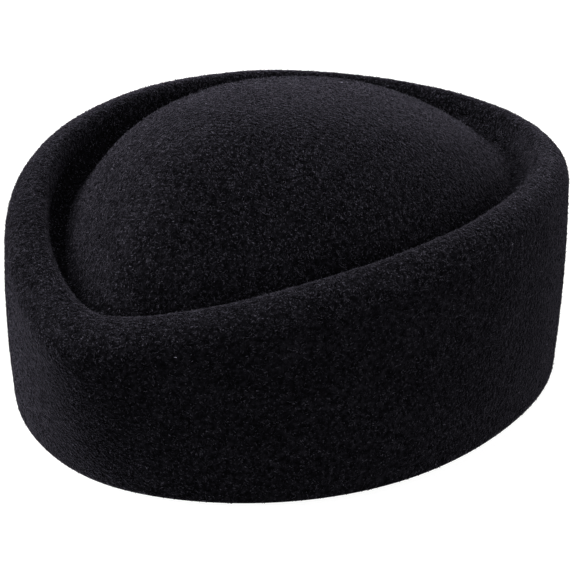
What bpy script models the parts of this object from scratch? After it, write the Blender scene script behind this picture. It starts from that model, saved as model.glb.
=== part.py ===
"""A pillbox hat blocked from one piece of wool felt.

One sheet of felt runs up from the open base as the outer wall, rolls over a soft
shoulder and lip, drops into a groove and rises again as the dome of the crown.
The front tip points along -Y, +Z is up and the base edge rests on z = 0. The
origin is under the middle of the hat's whole length and width.
"""

import collections
import math

import bmesh
import bpy

# Head opening, measured on the outside of the felt at the base edge
BASE_LENGTH = 0.200
BASE_WIDTH = 0.1764

# How far the top of the wall stands out past the base edge
FRONT_OVERHANG = 0.0149
BACK_OVERHANG = 0.0083
SIDE_OVERHANG = 0.0012
WALL_BOW = 0.0017

# Height of the rolled edge above the base
FRONT_HEIGHT = 0.060
SIDE_HEIGHT = 0.0766
BACK_HEIGHT = 0.0701

# Rolled edge: an outer shoulder, then a tighter inner lip
FRONT_SHOULDER_WIDTH = 0.0150
SIDE_SHOULDER_WIDTH = 0.0098
BACK_SHOULDER_WIDTH = 0.0051
SHOULDER_DROP = 0.0083
LIP_RADIUS = 0.0036

# Groove between the rolled edge and the dome
FRONT_GROOVE_WIDTH = 0.0040
SIDE_GROOVE_WIDTH = 0.0098
BACK_GROOVE_WIDTH = 0.0056
FRONT_GROOVE_DEPTH = 0.0047
SIDE_GROOVE_DEPTH = 0.0115
BACK_GROOVE_DEPTH = 0.0087
GROOVE_TURN = math.radians(125)
GROOVE_FADE = 6

# Dome of the crown
DOME_HEIGHT = 0.1015
DOME_FORWARD = 0.0214
DOME_STEEPNESS = 0.82

FELT_THICKNESS = 0.0025
BASE_BAND = 0.0025

# Faces round the hat, and rings of faces in each stretch of its profile
AROUND = 72
WALL_STEPS = 6
SHOULDER_STEPS = 6
LIP_STEPS = 4
GROOVE_STEPS = 7
DOME_STEPS = 10

FELT_COLOUR = (0.012, 0.012, 0.014, 1.0)
FELT_ROUGHNESS = 0.95

# Plan outlines. front, back and side draw that part of the oval to a point, or
# fill it out when negative. egg widens the back half and narrows the front half.
Plan = collections.namedtuple("Plan", "front back side egg")
BASE_PLAN = Plan(front=0.15, back=0.01, side=-0.14, egg=0.05)
CREST_PLAN = Plan(front=0.45, back=0.01, side=-0.03, egg=0.08)
POINT_SOFTNESS = 0.3
DOME_ROUNDING = 0.6

ANGLES = [2 * math.pi * step / AROUND for step in range(AROUND)]


def drawn(value, point):
    """A sine or cosine drawn towards 0 so that the oval comes to a soft point."""
    softened = (value**2 + POINT_SOFTNESS**2) / (1 + POINT_SOFTNESS**2)
    return value * softened ** (point / 2)


def blend(front, side, back, angle, power=2):
    """A size that changes round the hat, given at its front tip, sides and back."""
    along = math.sin(angle)
    end = front if along < 0 else back
    return side + (end - side) * abs(along) ** power


def oval(plan, front_reach, back_reach, half_width, angle):
    """A point of a plan outline. Its front tip is at -Y."""
    along = math.sin(angle)
    across = drawn(math.cos(angle), plan.front if along < 0 else plan.back)
    lengthwise = drawn(along, plan.side)
    reach = front_reach if along < 0 else back_reach
    return half_width * across * (1 + plan.egg * lengthwise), reach * lengthwise


def base_point(angle):
    return oval(BASE_PLAN, BASE_LENGTH / 2, BASE_LENGTH / 2, BASE_WIDTH / 2, angle)


def crest_point(angle, shoulder=0.0, lip=0.0, groove=0.0, share=1.0):
    """A point on or inside the crest outline, in plan.

    shoulder, lip and groove are the shares of their widths that have been crossed
    on the way in. share runs from 1 at the dome's foot to 0 at its top.
    """
    front = BASE_LENGTH / 2 + FRONT_OVERHANG - shoulder * FRONT_SHOULDER_WIDTH
    front -= lip * LIP_RADIUS + groove * FRONT_GROOVE_WIDTH
    back = BASE_LENGTH / 2 + BACK_OVERHANG - shoulder * BACK_SHOULDER_WIDTH
    back -= lip * LIP_RADIUS + groove * BACK_GROOVE_WIDTH
    side = BASE_WIDTH / 2 + SIDE_OVERHANG - shoulder * SIDE_SHOULDER_WIDTH
    side -= lip * LIP_RADIUS + groove * SIDE_GROOVE_WIDTH
    rounding = share**DOME_ROUNDING
    plan = Plan(*(value * rounding for value in CREST_PLAN))
    x, y = oval(plan, front * share, back * share, side * share, angle)
    return x, y - DOME_FORWARD * (1 - share)


def crest_height(angle):
    return blend(FRONT_HEIGHT, SIDE_HEIGHT, BACK_HEIGHT, angle)


def groove_depth(angle):
    """The groove keeps its depth along the sides and fades near both ends."""
    return blend(
        FRONT_GROOVE_DEPTH, SIDE_GROOVE_DEPTH, BACK_GROOVE_DEPTH, angle, GROOVE_FADE
    )


def wall_sections():
    """The outer wall, which starts upright so that the base edge is flat."""
    shares = [0.0] + [step / WALL_STEPS for step in range(WALL_STEPS + 1)]
    for index, share in enumerate(shares):
        ring = []
        for angle in ANGLES:
            base = base_point(angle)
            crest = crest_point(angle)
            radius = math.hypot(*base)
            stretch = 1 + WALL_BOW * 4 * share * (1 - share) / radius
            x = base[0] * stretch + (crest[0] - base[0]) * share
            y = base[1] * stretch + (crest[1] - base[1]) * share
            top = crest_height(angle) - SHOULDER_DROP
            lift = BASE_BAND + (top - BASE_BAND) * share if index else 0.0
            ring.append((x, y, lift))
        yield ring


def shoulder_sections():
    for step in range(1, SHOULDER_STEPS + 1):
        turn = math.pi / 2 * step / SHOULDER_STEPS
        drop = SHOULDER_DROP * (1 - math.sin(turn))
        yield [
            (*crest_point(angle, 1 - math.cos(turn)), crest_height(angle) - drop)
            for angle in ANGLES
        ]


def lip_sections():
    for step in range(1, LIP_STEPS + 1):
        turn = math.pi / 2 * step / LIP_STEPS
        drop = LIP_RADIUS * (1 - math.cos(turn))
        yield [
            (*crest_point(angle, 1, math.sin(turn)), crest_height(angle) - drop)
            for angle in ANGLES
        ]


def groove_sections():
    """The groove goes down from the lip, round its floor and up to the dome's foot."""
    width = 1 - math.cos(GROOVE_TURN)
    for step in range(1, GROOVE_STEPS + 1):
        turn = GROOVE_TURN * step / GROOVE_STEPS
        crossed = (1 - math.cos(turn)) / width
        ring = []
        for angle in ANGLES:
            floor = groove_depth(angle) - LIP_RADIUS
            drop = LIP_RADIUS + floor * math.sin(turn)
            ring.append(
                (*crest_point(angle, 1, 1, crossed), crest_height(angle) - drop)
            )
        yield ring


def dome_foot(angle):
    rise = (groove_depth(angle) - LIP_RADIUS) * math.sin(GROOVE_TURN)
    return crest_height(angle) - LIP_RADIUS - rise


def cap_height(share):
    """Height of a round cap over its centre, which stops short of the equator."""
    return math.sqrt(1 - (DOME_STEEPNESS * share) ** 2)


def dome_sections():
    for step in range(1, DOME_STEPS):
        share = 1 - step / DOME_STEPS
        rise = (cap_height(share) - cap_height(1)) / (1 - cap_height(1))
        ring = []
        for angle in ANGLES:
            foot = dome_foot(angle)
            height = foot + (DOME_HEIGHT - foot) * rise
            ring.append((*crest_point(angle, 1, 1, 1, share), height))
        yield ring


def profile_sections():
    yield from wall_sections()
    yield from shoulder_sections()
    yield from lip_sections()
    yield from groove_sections()
    yield from dome_sections()


def felt_material():
    material = bpy.data.materials.new("wool_felt")
    material.use_nodes = True
    shader = material.node_tree.nodes["Principled BSDF"]
    shader.inputs["Base Color"].default_value = FELT_COLOUR
    shader.inputs["Roughness"].default_value = FELT_ROUGHNESS
    shader.inputs["Metallic"].default_value = 0.0
    material.diffuse_color = FELT_COLOUR
    return material


def make_felt_body(collection):
    """The felt's outer face, lofted ring by ring, then thickened inwards."""
    middle = (FRONT_OVERHANG - BACK_OVERHANG) / 2
    mesh = bpy.data.meshes.new("felt_body")
    build = bmesh.new()
    below = None
    for section in profile_sections():
        ring = [build.verts.new((x, y + middle, z)) for x, y, z in section]
        if below:
            for index in range(AROUND):
                after = (index + 1) % AROUND
                build.faces.new((below[index], below[after], ring[after], ring[index]))
        below = ring
    top = build.verts.new((0.0, middle - DOME_FORWARD, DOME_HEIGHT))
    for index in range(AROUND):
        build.faces.new((below[index], below[(index + 1) % AROUND], top))
    build.to_mesh(mesh)
    build.free()
    mesh.shade_smooth()
    mesh.materials.append(felt_material())

    body = bpy.data.objects.new("felt_body", mesh)
    collection.objects.link(body)
    shell = body.modifiers.new("felt", "SOLIDIFY")
    shell.thickness = FELT_THICKNESS
    shell.offset = -1.0
    shell.use_even_offset = True
    return body


def main():
    for old in list(bpy.data.objects):
        bpy.data.objects.remove(old, do_unlink=True)
    parts = bpy.data.collections.new("pillbox_hat")
    bpy.context.scene.collection.children.link(parts)
    make_felt_body(parts)


main()
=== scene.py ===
"""A black wool felt pillbox hat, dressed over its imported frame, on a pale floor."""
import math
from collections import namedtuple

import bpy
import numpy as np
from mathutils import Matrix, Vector, noise


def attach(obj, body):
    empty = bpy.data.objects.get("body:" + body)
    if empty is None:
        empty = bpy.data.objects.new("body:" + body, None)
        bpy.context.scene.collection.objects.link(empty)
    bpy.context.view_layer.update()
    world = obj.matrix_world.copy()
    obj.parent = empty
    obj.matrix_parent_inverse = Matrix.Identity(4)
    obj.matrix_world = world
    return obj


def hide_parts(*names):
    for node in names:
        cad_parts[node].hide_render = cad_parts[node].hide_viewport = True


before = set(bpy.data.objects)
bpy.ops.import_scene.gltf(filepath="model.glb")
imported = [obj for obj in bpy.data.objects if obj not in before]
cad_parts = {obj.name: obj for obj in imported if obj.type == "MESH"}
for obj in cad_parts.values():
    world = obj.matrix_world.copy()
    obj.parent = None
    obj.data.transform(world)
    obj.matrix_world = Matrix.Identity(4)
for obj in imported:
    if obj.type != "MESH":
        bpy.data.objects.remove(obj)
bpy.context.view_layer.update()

# Form of the felt, in metres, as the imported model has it
BASE_LENGTH = 0.200
BASE_WIDTH = 0.1764
FRONT_OVERHANG = 0.0149
BACK_OVERHANG = 0.0083
SIDE_OVERHANG = 0.0012
FRONT_HEIGHT = 0.060
SIDE_HEIGHT = 0.0766
BACK_HEIGHT = 0.0701
FRONT_SHOULDER_WIDTH = 0.0150
SIDE_SHOULDER_WIDTH = 0.0098
BACK_SHOULDER_WIDTH = 0.0051
SHOULDER_DROP = 0.0083
LIP_RADIUS = 0.0036
FRONT_GROOVE_WIDTH = 0.0040
SIDE_GROOVE_WIDTH = 0.0098
BACK_GROOVE_WIDTH = 0.0056
FRONT_GROOVE_DEPTH = 0.0047
SIDE_GROOVE_DEPTH = 0.0115
BACK_GROOVE_DEPTH = 0.0087
GROOVE_TURN = math.radians(125)
GROOVE_FADE = 6
DOME_HEIGHT = 0.1015
DOME_FORWARD = 0.0214
DOME_STEEPNESS = 0.82
FELT_THICKNESS = 0.0025

# Plan outlines. front, back and side draw that part of the oval to a point, or fill it
# out when negative. egg widens the back half and narrows the front half.
Plan = namedtuple("Plan", "front back side egg")
BASE_PLAN = Plan(front=0.15, back=0.01, side=-0.14, egg=0.05)
CREST_PLAN = Plan(front=0.45, back=0.01, side=-0.03, egg=0.08)
POINT_SOFTNESS = 0.3
DOME_ROUNDING = 0.6

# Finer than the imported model: the wall's slight bow, its flare towards the cut edge and
# the rounding of that edge
WALL_BOW = 0.0010
EDGE_FLARE = 0.0006
EDGE_ROUNDING = 0.0004

# The hand-blocked felt isn't perfectly even: size of the swell and its depth, and the
# rows above the cut edge over which it grows to its full depth
Swell = namedtuple("Swell", "across depth")
SWELLS = (Swell(0.045, 0.00035), Swell(0.014, 0.00014))
SWELL_FADE_ROWS = 8

# Grid of the felt piece: faces round the hat, and rows in each stretch of the profile
AROUND = 256
WALL_ROWS = 44
SHOULDER_ROWS = 14
LIP_ROWS = 8
GROOVE_ROWS = 18
DOME_ROWS = 46
EDGE_ROWS = 5
GROOVE_START = WALL_ROWS + SHOULDER_ROWS + LIP_ROWS
PROFILE_SMOOTHING = 5

# Ground of the felt between its fibres
GROUND_TONE = 0.008
GROUND_SHEEN = 0.22
GROUND_SHEEN_ROUGHNESS = 0.15

# Painted shade in the groove: the felt of the groove's floor all round, and its sides
# towards the front, get a darker tone and less sheen to stand in for the shade there.
# Rows, counted from the start of the groove, how far the patch runs from the front tip
# (-1) towards the back (1), and its tone and sheen. A later patch lies over the earlier.
Patch = namedtuple("Patch", "name first last back tone sheen")
GROOVE_SHADE_PATCHES = (
    Patch("felt_groove_floor", 8, GROOVE_ROWS - 2, 1.0, 0.007, 0.08),
    Patch("felt_groove_edge", -1, GROOVE_ROWS + 1, 0.35, 0.007, 0.10),
    Patch("felt_groove", 3, GROOVE_ROWS - 3, 0.20, 0.005, 0.02),
)

# Nap pieces: how many fibres, their tone and sheen, the least and most that they slant
# up from the felt in radians, and how thickly they lie on the wall beside the crown
Nap = namedtuple("Nap", "name count tone sheen slant on_wall")
NAPS = (
    Nap("nap_dark", 49000, 0.009, 0.04, (0.0, 0.40), 0.8),
    Nap("nap_middle", 49000, 0.019, 0.11, (0.0, 0.40), 1.3),
    Nap("nap_light", 49000, 0.029, 0.24, (0.0, 0.60), 0.55),
    Nap("nap_pale", 46000, 0.038, 0.36, (0.0, 0.90), 0.18),
    Nap("lint", 40, 0.50, 0.30, (0.0, 0.60), 1.0),
)
FIBRE_LENGTH = (0.0005, 0.0012)
FIBRE_THICKNESS = (0.00022, 0.00042)
ROOT_SUNK = 0.00008
NAP_SHEEN_ROUGHNESS = 0.4

# The nap is thinner in the groove, from the front tip as far as the first of these
# places, and full again from the second on (-1 is the front tip, 1 the back). This gives
# fewer specks there and darkens the groove's front, which is painted shade.
NAP_IN_GROOVE = 0.35
NAP_THIN_UNTIL = (0.0, 0.5)

# Random tilt of the direction that a fibre's turn is counted from, and the cosine and
# sine that set the second and third corner of its root
FIBRE_TILT = 0.1
ROOT_CORNER = (0.5, 0.87)

# Looks of the felt: its tint, the mottle of its tones as places and strengths, the
# broad soft clouds over it, and the grain of its surface
FELT_TINT = np.array([1.0, 0.95, 1.2])
FELT_ROUGHNESS = 0.95
SHEEN_TINT = (0.84, 0.79, 1.0, 1.0)
MOTTLE_ACROSS = 0.0016
MOTTLE = ((0.3, 0.35), (0.5, 0.9), (0.7, 1.9))
CLOUD_ACROSS = 0.012
CLOUDS = ((0.3, 0.7), (0.7, 1.0))
GRAIN_ACROSS = 0.0012
GRAIN_DEPTH = 0.0010

# Camera: its place round the hat and how far off, in metres, its lens and sensor, in
# millimetres, and the point that it looks at
AZIMUTH = math.radians(34.66)
ELEVATION = math.radians(25.91)
DISTANCE = 0.77527
LENS = 140.87
SENSOR = 36.0
AIM = Vector((0.00176, 0.00452, 0.02957))

# Directions at the hat: back to the camera, to the picture's right, and level away
BACKWARD = Vector((
    math.sin(AZIMUTH) * math.cos(ELEVATION),
    -math.cos(AZIMUTH) * math.cos(ELEVATION),
    math.sin(ELEVATION),
))
RIGHT = Vector((math.cos(AZIMUTH), math.sin(AZIMUTH), 0.0))
AWAY = Vector((-math.sin(AZIMUTH), math.cos(AZIMUTH), 0.0))

# Soft lights round the hat. Turn is 0 at the camera's side, 90 at the picture's right.
Lamp = namedtuple("Lamp", "name turn height strength")
LAMPS = (
    Lamp("left_high", 250, 42, 1.7),
    Lamp("left_low", 272, 14, 2.1),
    Lamp("left_behind_high", 220, 42, 1.3),
    Lamp("left_behind_low", 225, 4, 3.5),
    Lamp("behind", 205, 14, 3.9),
    Lamp("right_behind_low", 150, 4, 2.0),
    Lamp("right_behind", 116, 14, 1.5),
    Lamp("front_right", 42, 14, 1.0),
)
LAMP_SPREAD = math.radians(50)

# Even light from all round, brightest overhead, and its share straight below
SKY_STRENGTH = 0.32
SKY_BELOW = 0.45

# Plain pale floor: half its side in metres, its grey and its own glow
FLOOR_REACH = 4.0
FLOOR_GREY = (0.25, 0.25, 0.25, 1.0)
FLOOR_GLOW = 0.9

ANGLES = np.linspace(0, 2 * math.pi, AROUND, endpoint=False)
ALONG = np.sin(ANGLES)
ACROSS = np.cos(ANGLES)
MIDDLE = (FRONT_OVERHANG - BACK_OVERHANG) / 2


def drawn(value, point):
    """A sine or cosine drawn towards 0 so that the oval comes to a soft point."""
    softened = (value**2 + POINT_SOFTNESS**2) / (1 + POINT_SOFTNESS**2)
    return value * softened ** (point / 2)


def blend(front, side, back, power=2):
    """A size all round the hat, given at its front tip, sides and back."""
    end = np.where(ALONG < 0, front, back)
    return side + (end - side) * np.abs(ALONG) ** power


def oval(plan, front, back, side):
    """A plan outline with these reaches. Its front tip is at -Y."""
    across = drawn(ACROSS, np.where(ALONG < 0, plan.front, plan.back))
    lengthwise = drawn(ALONG, plan.side)
    reach = np.where(ALONG < 0, front, back)
    return side * across * (1 + plan.egg * lengthwise), reach * lengthwise


def crest_point(shoulder=0.0, lip=0.0, groove=0.0, share=1.0):
    """A plan outline on or inside the crest.

    shoulder, lip and groove are the shares of their widths that have been crossed on
    the way in. share runs from 1 at the dome's foot to 0 at its top.
    """
    front = BASE_LENGTH / 2 + FRONT_OVERHANG - shoulder * FRONT_SHOULDER_WIDTH
    front -= lip * LIP_RADIUS + groove * FRONT_GROOVE_WIDTH
    back = BASE_LENGTH / 2 + BACK_OVERHANG - shoulder * BACK_SHOULDER_WIDTH
    back -= lip * LIP_RADIUS + groove * BACK_GROOVE_WIDTH
    side = BASE_WIDTH / 2 + SIDE_OVERHANG - shoulder * SIDE_SHOULDER_WIDTH
    side -= lip * LIP_RADIUS + groove * SIDE_GROOVE_WIDTH
    plan = Plan(*(value * share**DOME_ROUNDING for value in CREST_PLAN))
    x, y = oval(plan, front * share, back * share, side * share)
    return x, y - DOME_FORWARD * (1 - share)


CREST_HEIGHT = blend(FRONT_HEIGHT, SIDE_HEIGHT, BACK_HEIGHT)
GROOVE_DEPTH = blend(FRONT_GROOVE_DEPTH, SIDE_GROOVE_DEPTH, BACK_GROOVE_DEPTH, GROOVE_FADE)


def row(plan_point, height):
    """One row of the grid, with the origin under the middle of the hat."""
    x, y = plan_point
    return np.stack([x, y + MIDDLE, np.broadcast_to(height, x.shape)], axis=1)


def wall_rows():
    """The outer wall, from the cut edge up to the shoulder."""
    foot = oval(BASE_PLAN, BASE_LENGTH / 2, BASE_LENGTH / 2, BASE_WIDTH / 2)
    crest = crest_point()
    radius = np.hypot(*foot)
    rise = CREST_HEIGHT - SHOULDER_DROP - EDGE_ROUNDING
    for share in np.linspace(0, 1, WALL_ROWS, endpoint=False):
        bulge = WALL_BOW * 4 * share * (1 - share) + EDGE_FLARE * (1 - share) ** 3
        stretch = 1 + bulge / radius
        x = foot[0] * stretch + (crest[0] - foot[0]) * share
        y = foot[1] * stretch + (crest[1] - foot[1]) * share
        yield row((x, y), EDGE_ROUNDING + rise * share)


def rolled_rows():
    """The shoulder, then the tighter lip inside it."""
    for turn in np.linspace(0, math.pi / 2, SHOULDER_ROWS, endpoint=False):
        drop = SHOULDER_DROP * (1 - math.sin(turn))
        yield row(crest_point(1 - math.cos(turn)), CREST_HEIGHT - drop)
    for turn in np.linspace(0, math.pi / 2, LIP_ROWS, endpoint=False):
        drop = LIP_RADIUS * (1 - math.cos(turn))
        yield row(crest_point(1, math.sin(turn)), CREST_HEIGHT - drop)


def groove_rows():
    """The groove goes down from the lip, round its floor and up to the dome's foot."""
    for turn in np.linspace(0, GROOVE_TURN, GROOVE_ROWS, endpoint=False):
        crossed = (1 - math.cos(turn)) / (1 - math.cos(GROOVE_TURN))
        drop = LIP_RADIUS + (GROOVE_DEPTH - LIP_RADIUS) * math.sin(turn)
        yield row(crest_point(1, 1, crossed), CREST_HEIGHT - drop)


def cap_height(share):
    """Height of a round cap over its centre, which stops short of the equator."""
    return math.sqrt(1 - (DOME_STEEPNESS * share) ** 2)


def dome_rows():
    """The dome, from its foot in the groove up to the row below its top."""
    foot = CREST_HEIGHT - LIP_RADIUS
    foot = foot - (GROOVE_DEPTH - LIP_RADIUS) * math.sin(GROOVE_TURN)
    for share in np.linspace(1, 0, DOME_ROWS, endpoint=False):
        rise = (cap_height(share) - cap_height(1)) / (1 - cap_height(1))
        yield row(crest_point(1, 1, 1, share), foot + (DOME_HEIGHT - foot) * rise)


def smoothed(grid, times):
    """Ease the joins between the stretches of the profile. The ends stay."""
    for _ in range(times):
        inner = (grid[:-2] + 2 * grid[1:-1] + grid[2:]) / 4
        grid = np.concatenate([grid[:1], inner, grid[-1:]])
    return grid


def outward(grid, top):
    """Normals of the grid, which point out of the felt."""
    turn = np.roll(grid, -1, axis=1) - np.roll(grid, 1, axis=1)
    above = np.concatenate([grid[1:], np.broadcast_to(top, grid[:1].shape)])
    below = np.concatenate([grid[:1], grid[:-1]])
    normal = np.cross(turn, above - below)
    return normal / np.linalg.norm(normal, axis=2, keepdims=True)


def swell(points):
    """How far the uneven felt stands out or in at each point."""
    depth = np.zeros(len(points))
    for size in SWELLS:
        depth += [size.depth * noise.noise(Vector(point) / size.across) for point in points]
    return depth


def felt_surface():
    """Outer and inner face of the felt as grids, the top point, and the normals."""
    rows = [*wall_rows(), *rolled_rows(), *groove_rows(), *dome_rows()]
    outer = smoothed(np.array(rows), PROFILE_SMOOTHING)
    top = np.array([0.0, MIDDLE - DOME_FORWARD, DOME_HEIGHT])
    normals = outward(outer, top)
    lift = swell(outer.reshape(-1, 3)).reshape(outer.shape[:2])
    fade = np.clip(np.arange(len(outer)) / SWELL_FADE_ROWS, 0, 1)[:, None]
    outer = outer + normals * (lift * fade)[:, :, None]
    inner = outer - normals * FELT_THICKNESS
    return outer, inner, top, normals


def edge_rows(outer, inner):
    """The cut edge under the wall, rounded from the inner face to the outer one."""
    middle = (outer[0] + inner[0]) / 2
    reach = (outer[0] - inner[0]) / 2
    for step in range(1, EDGE_ROWS):
        turn = math.pi * step / EDGE_ROWS
        ring = middle - reach * math.cos(turn)
        ring[:, 2] = middle[:, 2] * (1 - math.sin(turn))
        yield ring


class Nodes:
    """Short form for building a material's nodes."""

    def __init__(self, name):
        self.material = bpy.data.materials.new(name)
        self.material.use_nodes = True
        self.tree = self.material.node_tree
        self.shader = self.tree.nodes["Principled BSDF"]

    def add(self, kind, **values):
        node = self.tree.nodes.new(kind)
        for key, value in values.items():
            setattr(node, key, value)
        return node

    def link(self, source, target):
        self.tree.links.new(source, target)

    def noise(self, across, detail, roughness=0.5):
        """Noise that stays with the object, with cells of this size in metres."""
        place = self.add("ShaderNodeTexCoord")
        node = self.add("ShaderNodeTexNoise")
        node.inputs["Scale"].default_value = 1 / across
        node.inputs["Detail"].default_value = detail
        node.inputs["Roughness"].default_value = roughness
        self.link(place.outputs["Object"], node.inputs["Vector"])
        return node.outputs["Fac"]

    def ramp(self, source, stops):
        """Colours at places along a ramp, picked by the source's value."""
        node = self.add("ShaderNodeValToRGB")
        elements = node.color_ramp.elements
        while len(elements) < len(stops):
            elements.new(0.5)
        for element, (position, colour) in zip(elements, stops):
            element.position = position
            element.color = (*colour, 1.0)
        self.link(source, node.inputs["Fac"])
        return node.outputs["Color"]

    def multiply(self, first, second):
        node = self.add("ShaderNodeMix", data_type="RGBA", blend_type="MULTIPLY")
        node.inputs["Factor"].default_value = 1.0
        sockets = [socket for socket in node.inputs if socket.type == "RGBA"]
        self.link(first, sockets[0])
        self.link(second, sockets[1])
        return next(socket for socket in node.outputs if socket.type == "RGBA")


def felt_material(name, tone, sheen, sheen_roughness):
    """Black wool felt of one tone, mottled by its fibres and by broad soft clouds."""
    nodes = Nodes(name)
    shader = nodes.shader
    shader.inputs["Roughness"].default_value = FELT_ROUGHNESS
    shader.inputs["Specular IOR Level"].default_value = 0.0
    shader.inputs["Sheen Weight"].default_value = sheen
    shader.inputs["Sheen Roughness"].default_value = sheen_roughness
    shader.inputs["Sheen Tint"].default_value = SHEEN_TINT

    tones = [(place, tuple(FELT_TINT * tone * share)) for place, share in MOTTLE]
    mottle = nodes.ramp(nodes.noise(MOTTLE_ACROSS, detail=2.0, roughness=0.6), tones)
    shades = [(place, (shade,) * 3) for place, shade in CLOUDS]
    clouds = nodes.ramp(nodes.noise(CLOUD_ACROSS, detail=3.0), shades)
    nodes.link(nodes.multiply(mottle, clouds), shader.inputs["Base Color"])

    grain = nodes.add("ShaderNodeBump")
    grain.inputs["Strength"].default_value = 1.0
    grain.inputs["Distance"].default_value = GRAIN_DEPTH
    height = nodes.noise(GRAIN_ACROSS, detail=3.0, roughness=0.6)
    nodes.link(height, grain.inputs["Height"])
    nodes.link(grain.outputs["Normal"], shader.inputs["Normal"])
    return nodes.material


def mesh_piece(name, points, faces, material):
    """A piece of the hat, which rides on its one body."""
    mesh = bpy.data.meshes.new(name)
    mesh.from_pydata(points, [], faces)
    mesh.materials.append(material)
    mesh.validate()
    piece = bpy.data.objects.new(name, mesh)
    bpy.context.scene.collection.objects.link(piece)
    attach(piece, "root")
    return piece


def paint_groove_shade(mesh, groove_ring):
    """Paint shade into the groove: darker, less shiny materials of its own for its felt."""
    for number, patch in enumerate(GROOVE_SHADE_PATCHES, start=1):
        mesh.materials.append(
            felt_material(patch.name, patch.tone, patch.sheen, GROUND_SHEEN_ROUGHNESS)
        )
        for polygon in mesh.polygons:
            ring, step = divmod(polygon.vertices[0], AROUND)
            in_rows = patch.first <= ring - groove_ring < patch.last
            if in_rows and ALONG[step] <= patch.back:
                polygon.material_index = number


def felt_shell(outer, inner, top):
    """The felt as one closed skin: inner face, cut edge and outer face."""
    rings = [*inner[::-1], *edge_rows(outer, inner), *outer]
    count = len(rings)
    inner_top = top - np.array([0.0, 0.0, FELT_THICKNESS])
    points = np.concatenate([*rings, inner_top[None], top[None]])
    faces = []
    for lower in range(count - 1):
        start = lower * AROUND
        for step in range(AROUND):
            after = (step + 1) % AROUND
            faces.append(
                (start + step, start + after, start + AROUND + after, start + AROUND + step)
            )
    last = (count - 1) * AROUND
    for step in range(AROUND):
        after = (step + 1) % AROUND
        faces.append((after, step, count * AROUND))
        faces.append((last + step, last + after, count * AROUND + 1))
    ground = felt_material("felt_ground", GROUND_TONE, GROUND_SHEEN, GROUND_SHEEN_ROUGHNESS)
    shell = mesh_piece("felt_shell", points, faces, ground)
    shell.data.shade_smooth()
    # Painted shade in the groove: darker, less shiny felt there
    paint_groove_shade(shell.data, count - len(outer) + GROOVE_START)
    return shell


def nap_roots(outer, normals, count, on_wall, random):
    """Points spread over the felt's outer face, with the normals there."""
    near = np.roll(outer, -1, axis=1)
    cells = np.linalg.norm(np.cross(near[:-1] - outer[:-1], outer[1:] - outer[:-1]), axis=2)
    cells[:WALL_ROWS] *= on_wall
    # Thinner nap darkens the front of the groove: painted shade
    in_groove = np.interp(ALONG, NAP_THIN_UNTIL, (NAP_IN_GROOVE, 1.0))
    cells[GROOVE_START : GROOVE_START + GROOVE_ROWS] *= in_groove
    chance = cells.ravel() / cells.sum()
    chosen = random.choice(cells.size, count, p=chance)
    level, step = np.divmod(chosen, AROUND)
    after = (step + 1) % AROUND
    up, along = random.random((2, count, 1))
    spots = []
    for grid in (outer, normals):
        low = grid[level, step] * (1 - along) + grid[level, after] * along
        high = grid[level + 1, step] * (1 - along) + grid[level + 1, after] * along
        spots.append(low * (1 - up) + high * up)
    return spots


def nap_piece(outer, normals, nap, seed):
    """Short fibres that lie at random slants on the felt, each a closed thin spike."""
    random = np.random.default_rng(seed)
    roots, ups = nap_roots(outer, normals, nap.count, nap.on_wall, random)
    turn = random.uniform(0, 2 * math.pi, (nap.count, 1))
    side = np.cross(ups, [0.0, 0.0, 1.0] + random.normal(0, FIBRE_TILT, (nap.count, 3)))
    side /= np.linalg.norm(side, axis=1, keepdims=True)
    flat = side * np.cos(turn) + np.cross(ups, side) * np.sin(turn)
    slant = random.uniform(*nap.slant, (nap.count, 1))
    along = flat * np.cos(slant) + ups * np.sin(slant)
    length = random.uniform(*FIBRE_LENGTH, (nap.count, 1))
    thick = random.uniform(*FIBRE_THICKNESS, (nap.count, 1)) / 2
    across = np.cross(along, ups)
    across /= np.linalg.norm(across, axis=1, keepdims=True)
    over = np.cross(across, along)
    start = roots - ups * ROOT_SUNK
    back, aside = ROOT_CORNER
    corners = [
        start + across * thick,
        start - across * thick * back + over * thick * aside,
        start - across * thick * back - over * thick * aside,
        start + along * length,
    ]
    points = np.stack(corners, axis=1).reshape(-1, 3)
    points[:, 2] = np.maximum(points[:, 2], 0.0)
    # The root triangle and the three sides that run to the point
    spike = np.array([(0, 2, 1), (0, 1, 3), (1, 2, 3), (2, 0, 3)])
    faces = (np.arange(nap.count)[:, None, None] * len(corners) + spike).reshape(-1, 3)
    material = felt_material(nap.name, nap.tone, nap.sheen, NAP_SHEEN_ROUGHNESS)
    return mesh_piece(nap.name, points, faces, material)


def make_camera():
    """A long lens that looks down at the hat from its front right."""
    data = bpy.data.cameras.new("photo_camera")
    data.lens = LENS
    data.sensor_width = SENSOR
    data.clip_start = 0.01
    camera = bpy.data.objects.new("photo_camera", data)
    camera.location = AIM + BACKWARD * DISTANCE
    camera.rotation_euler = BACKWARD.to_track_quat("Z", "Y").to_euler()
    bpy.context.scene.collection.objects.link(camera)
    bpy.context.scene.camera = camera


def make_lamp(lamp):
    """A far soft light, placed by its turn round the hat and its height in degrees."""
    data = bpy.data.lights.new(lamp.name, "SUN")
    data.energy = lamp.strength
    data.angle = LAMP_SPREAD
    light = bpy.data.objects.new(lamp.name, data)
    turn = math.radians(lamp.turn)
    height = math.radians(lamp.height)
    towards = (RIGHT * math.sin(turn) - AWAY * math.cos(turn)) * math.cos(height)
    towards.z = math.sin(height)
    light.rotation_euler = towards.to_track_quat("Z", "Y").to_euler()
    bpy.context.scene.collection.objects.link(light)


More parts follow.
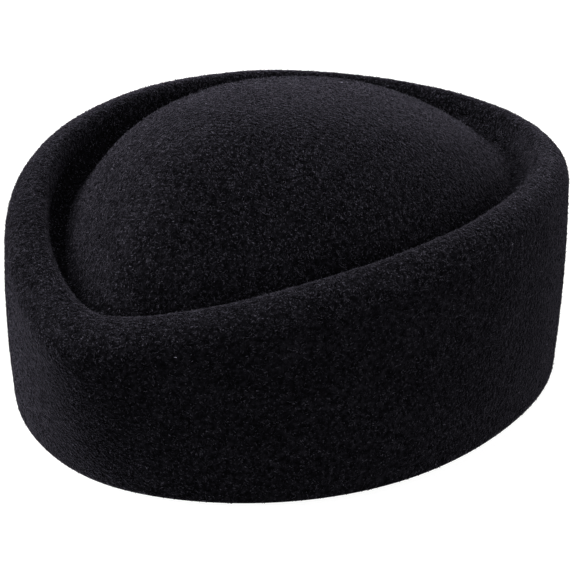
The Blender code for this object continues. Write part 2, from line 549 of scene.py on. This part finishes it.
def make_sky():
    """Light from all round that grows from below to overhead."""
    world = bpy.data.worlds.new("studio")
    world.use_nodes = True
    tree = world.node_tree
    surround = tree.nodes["Background"]
    surround.inputs["Strength"].default_value = SKY_STRENGTH
    place = tree.nodes.new("ShaderNodeTexCoord")
    split = tree.nodes.new("ShaderNodeSeparateXYZ")
    level = tree.nodes.new("ShaderNodeMapRange")
    level.inputs["From Min"].default_value = -1.0
    level.inputs["To Min"].default_value = SKY_BELOW
    tree.links.new(place.outputs["Generated"], split.inputs["Vector"])
    tree.links.new(split.outputs["Z"], level.inputs["Value"])
    tree.links.new(level.outputs["Result"], surround.inputs["Color"])
    world.cycles.sampling_method = "NONE"
    bpy.context.scene.world = world


def make_floor():
    """A pale floor that shows behind the hat and casts no light or shade on it."""
    nodes = Nodes("pale_floor")
    nodes.shader.inputs["Base Color"].default_value = FLOOR_GREY
    nodes.shader.inputs["Roughness"].default_value = 1.0
    nodes.shader.inputs["Specular IOR Level"].default_value = 0.0
    nodes.shader.inputs["Emission Color"].default_value = (1.0, 1.0, 1.0, 1.0)
    nodes.shader.inputs["Emission Strength"].default_value = FLOOR_GLOW
    mesh = bpy.data.meshes.new("floor")
    corners = [
        (-FLOOR_REACH, -FLOOR_REACH, 0),
        (FLOOR_REACH, -FLOOR_REACH, 0),
        (FLOOR_REACH, FLOOR_REACH, 0),
        (-FLOOR_REACH, FLOOR_REACH, 0),
    ]
    mesh.from_pydata(corners, [], [(0, 1, 2, 3)])
    mesh.materials.append(nodes.material)
    floor = bpy.data.objects.new("floor", mesh)
    floor.visible_diffuse = False
    floor.visible_glossy = False
    floor.visible_shadow = False
    bpy.context.scene.collection.objects.link(floor)


make_camera()
for lamp in LAMPS:
    make_lamp(lamp)
make_sky()
make_floor()
outer, inner, top, normals = felt_surface()
shell = felt_shell(outer, inner, top)
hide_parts("felt_body")
for number, nap in enumerate(NAPS):
    nap_piece(outer, normals, nap, number)
bpy.context.scene.view_settings.view_transform = "Standard"
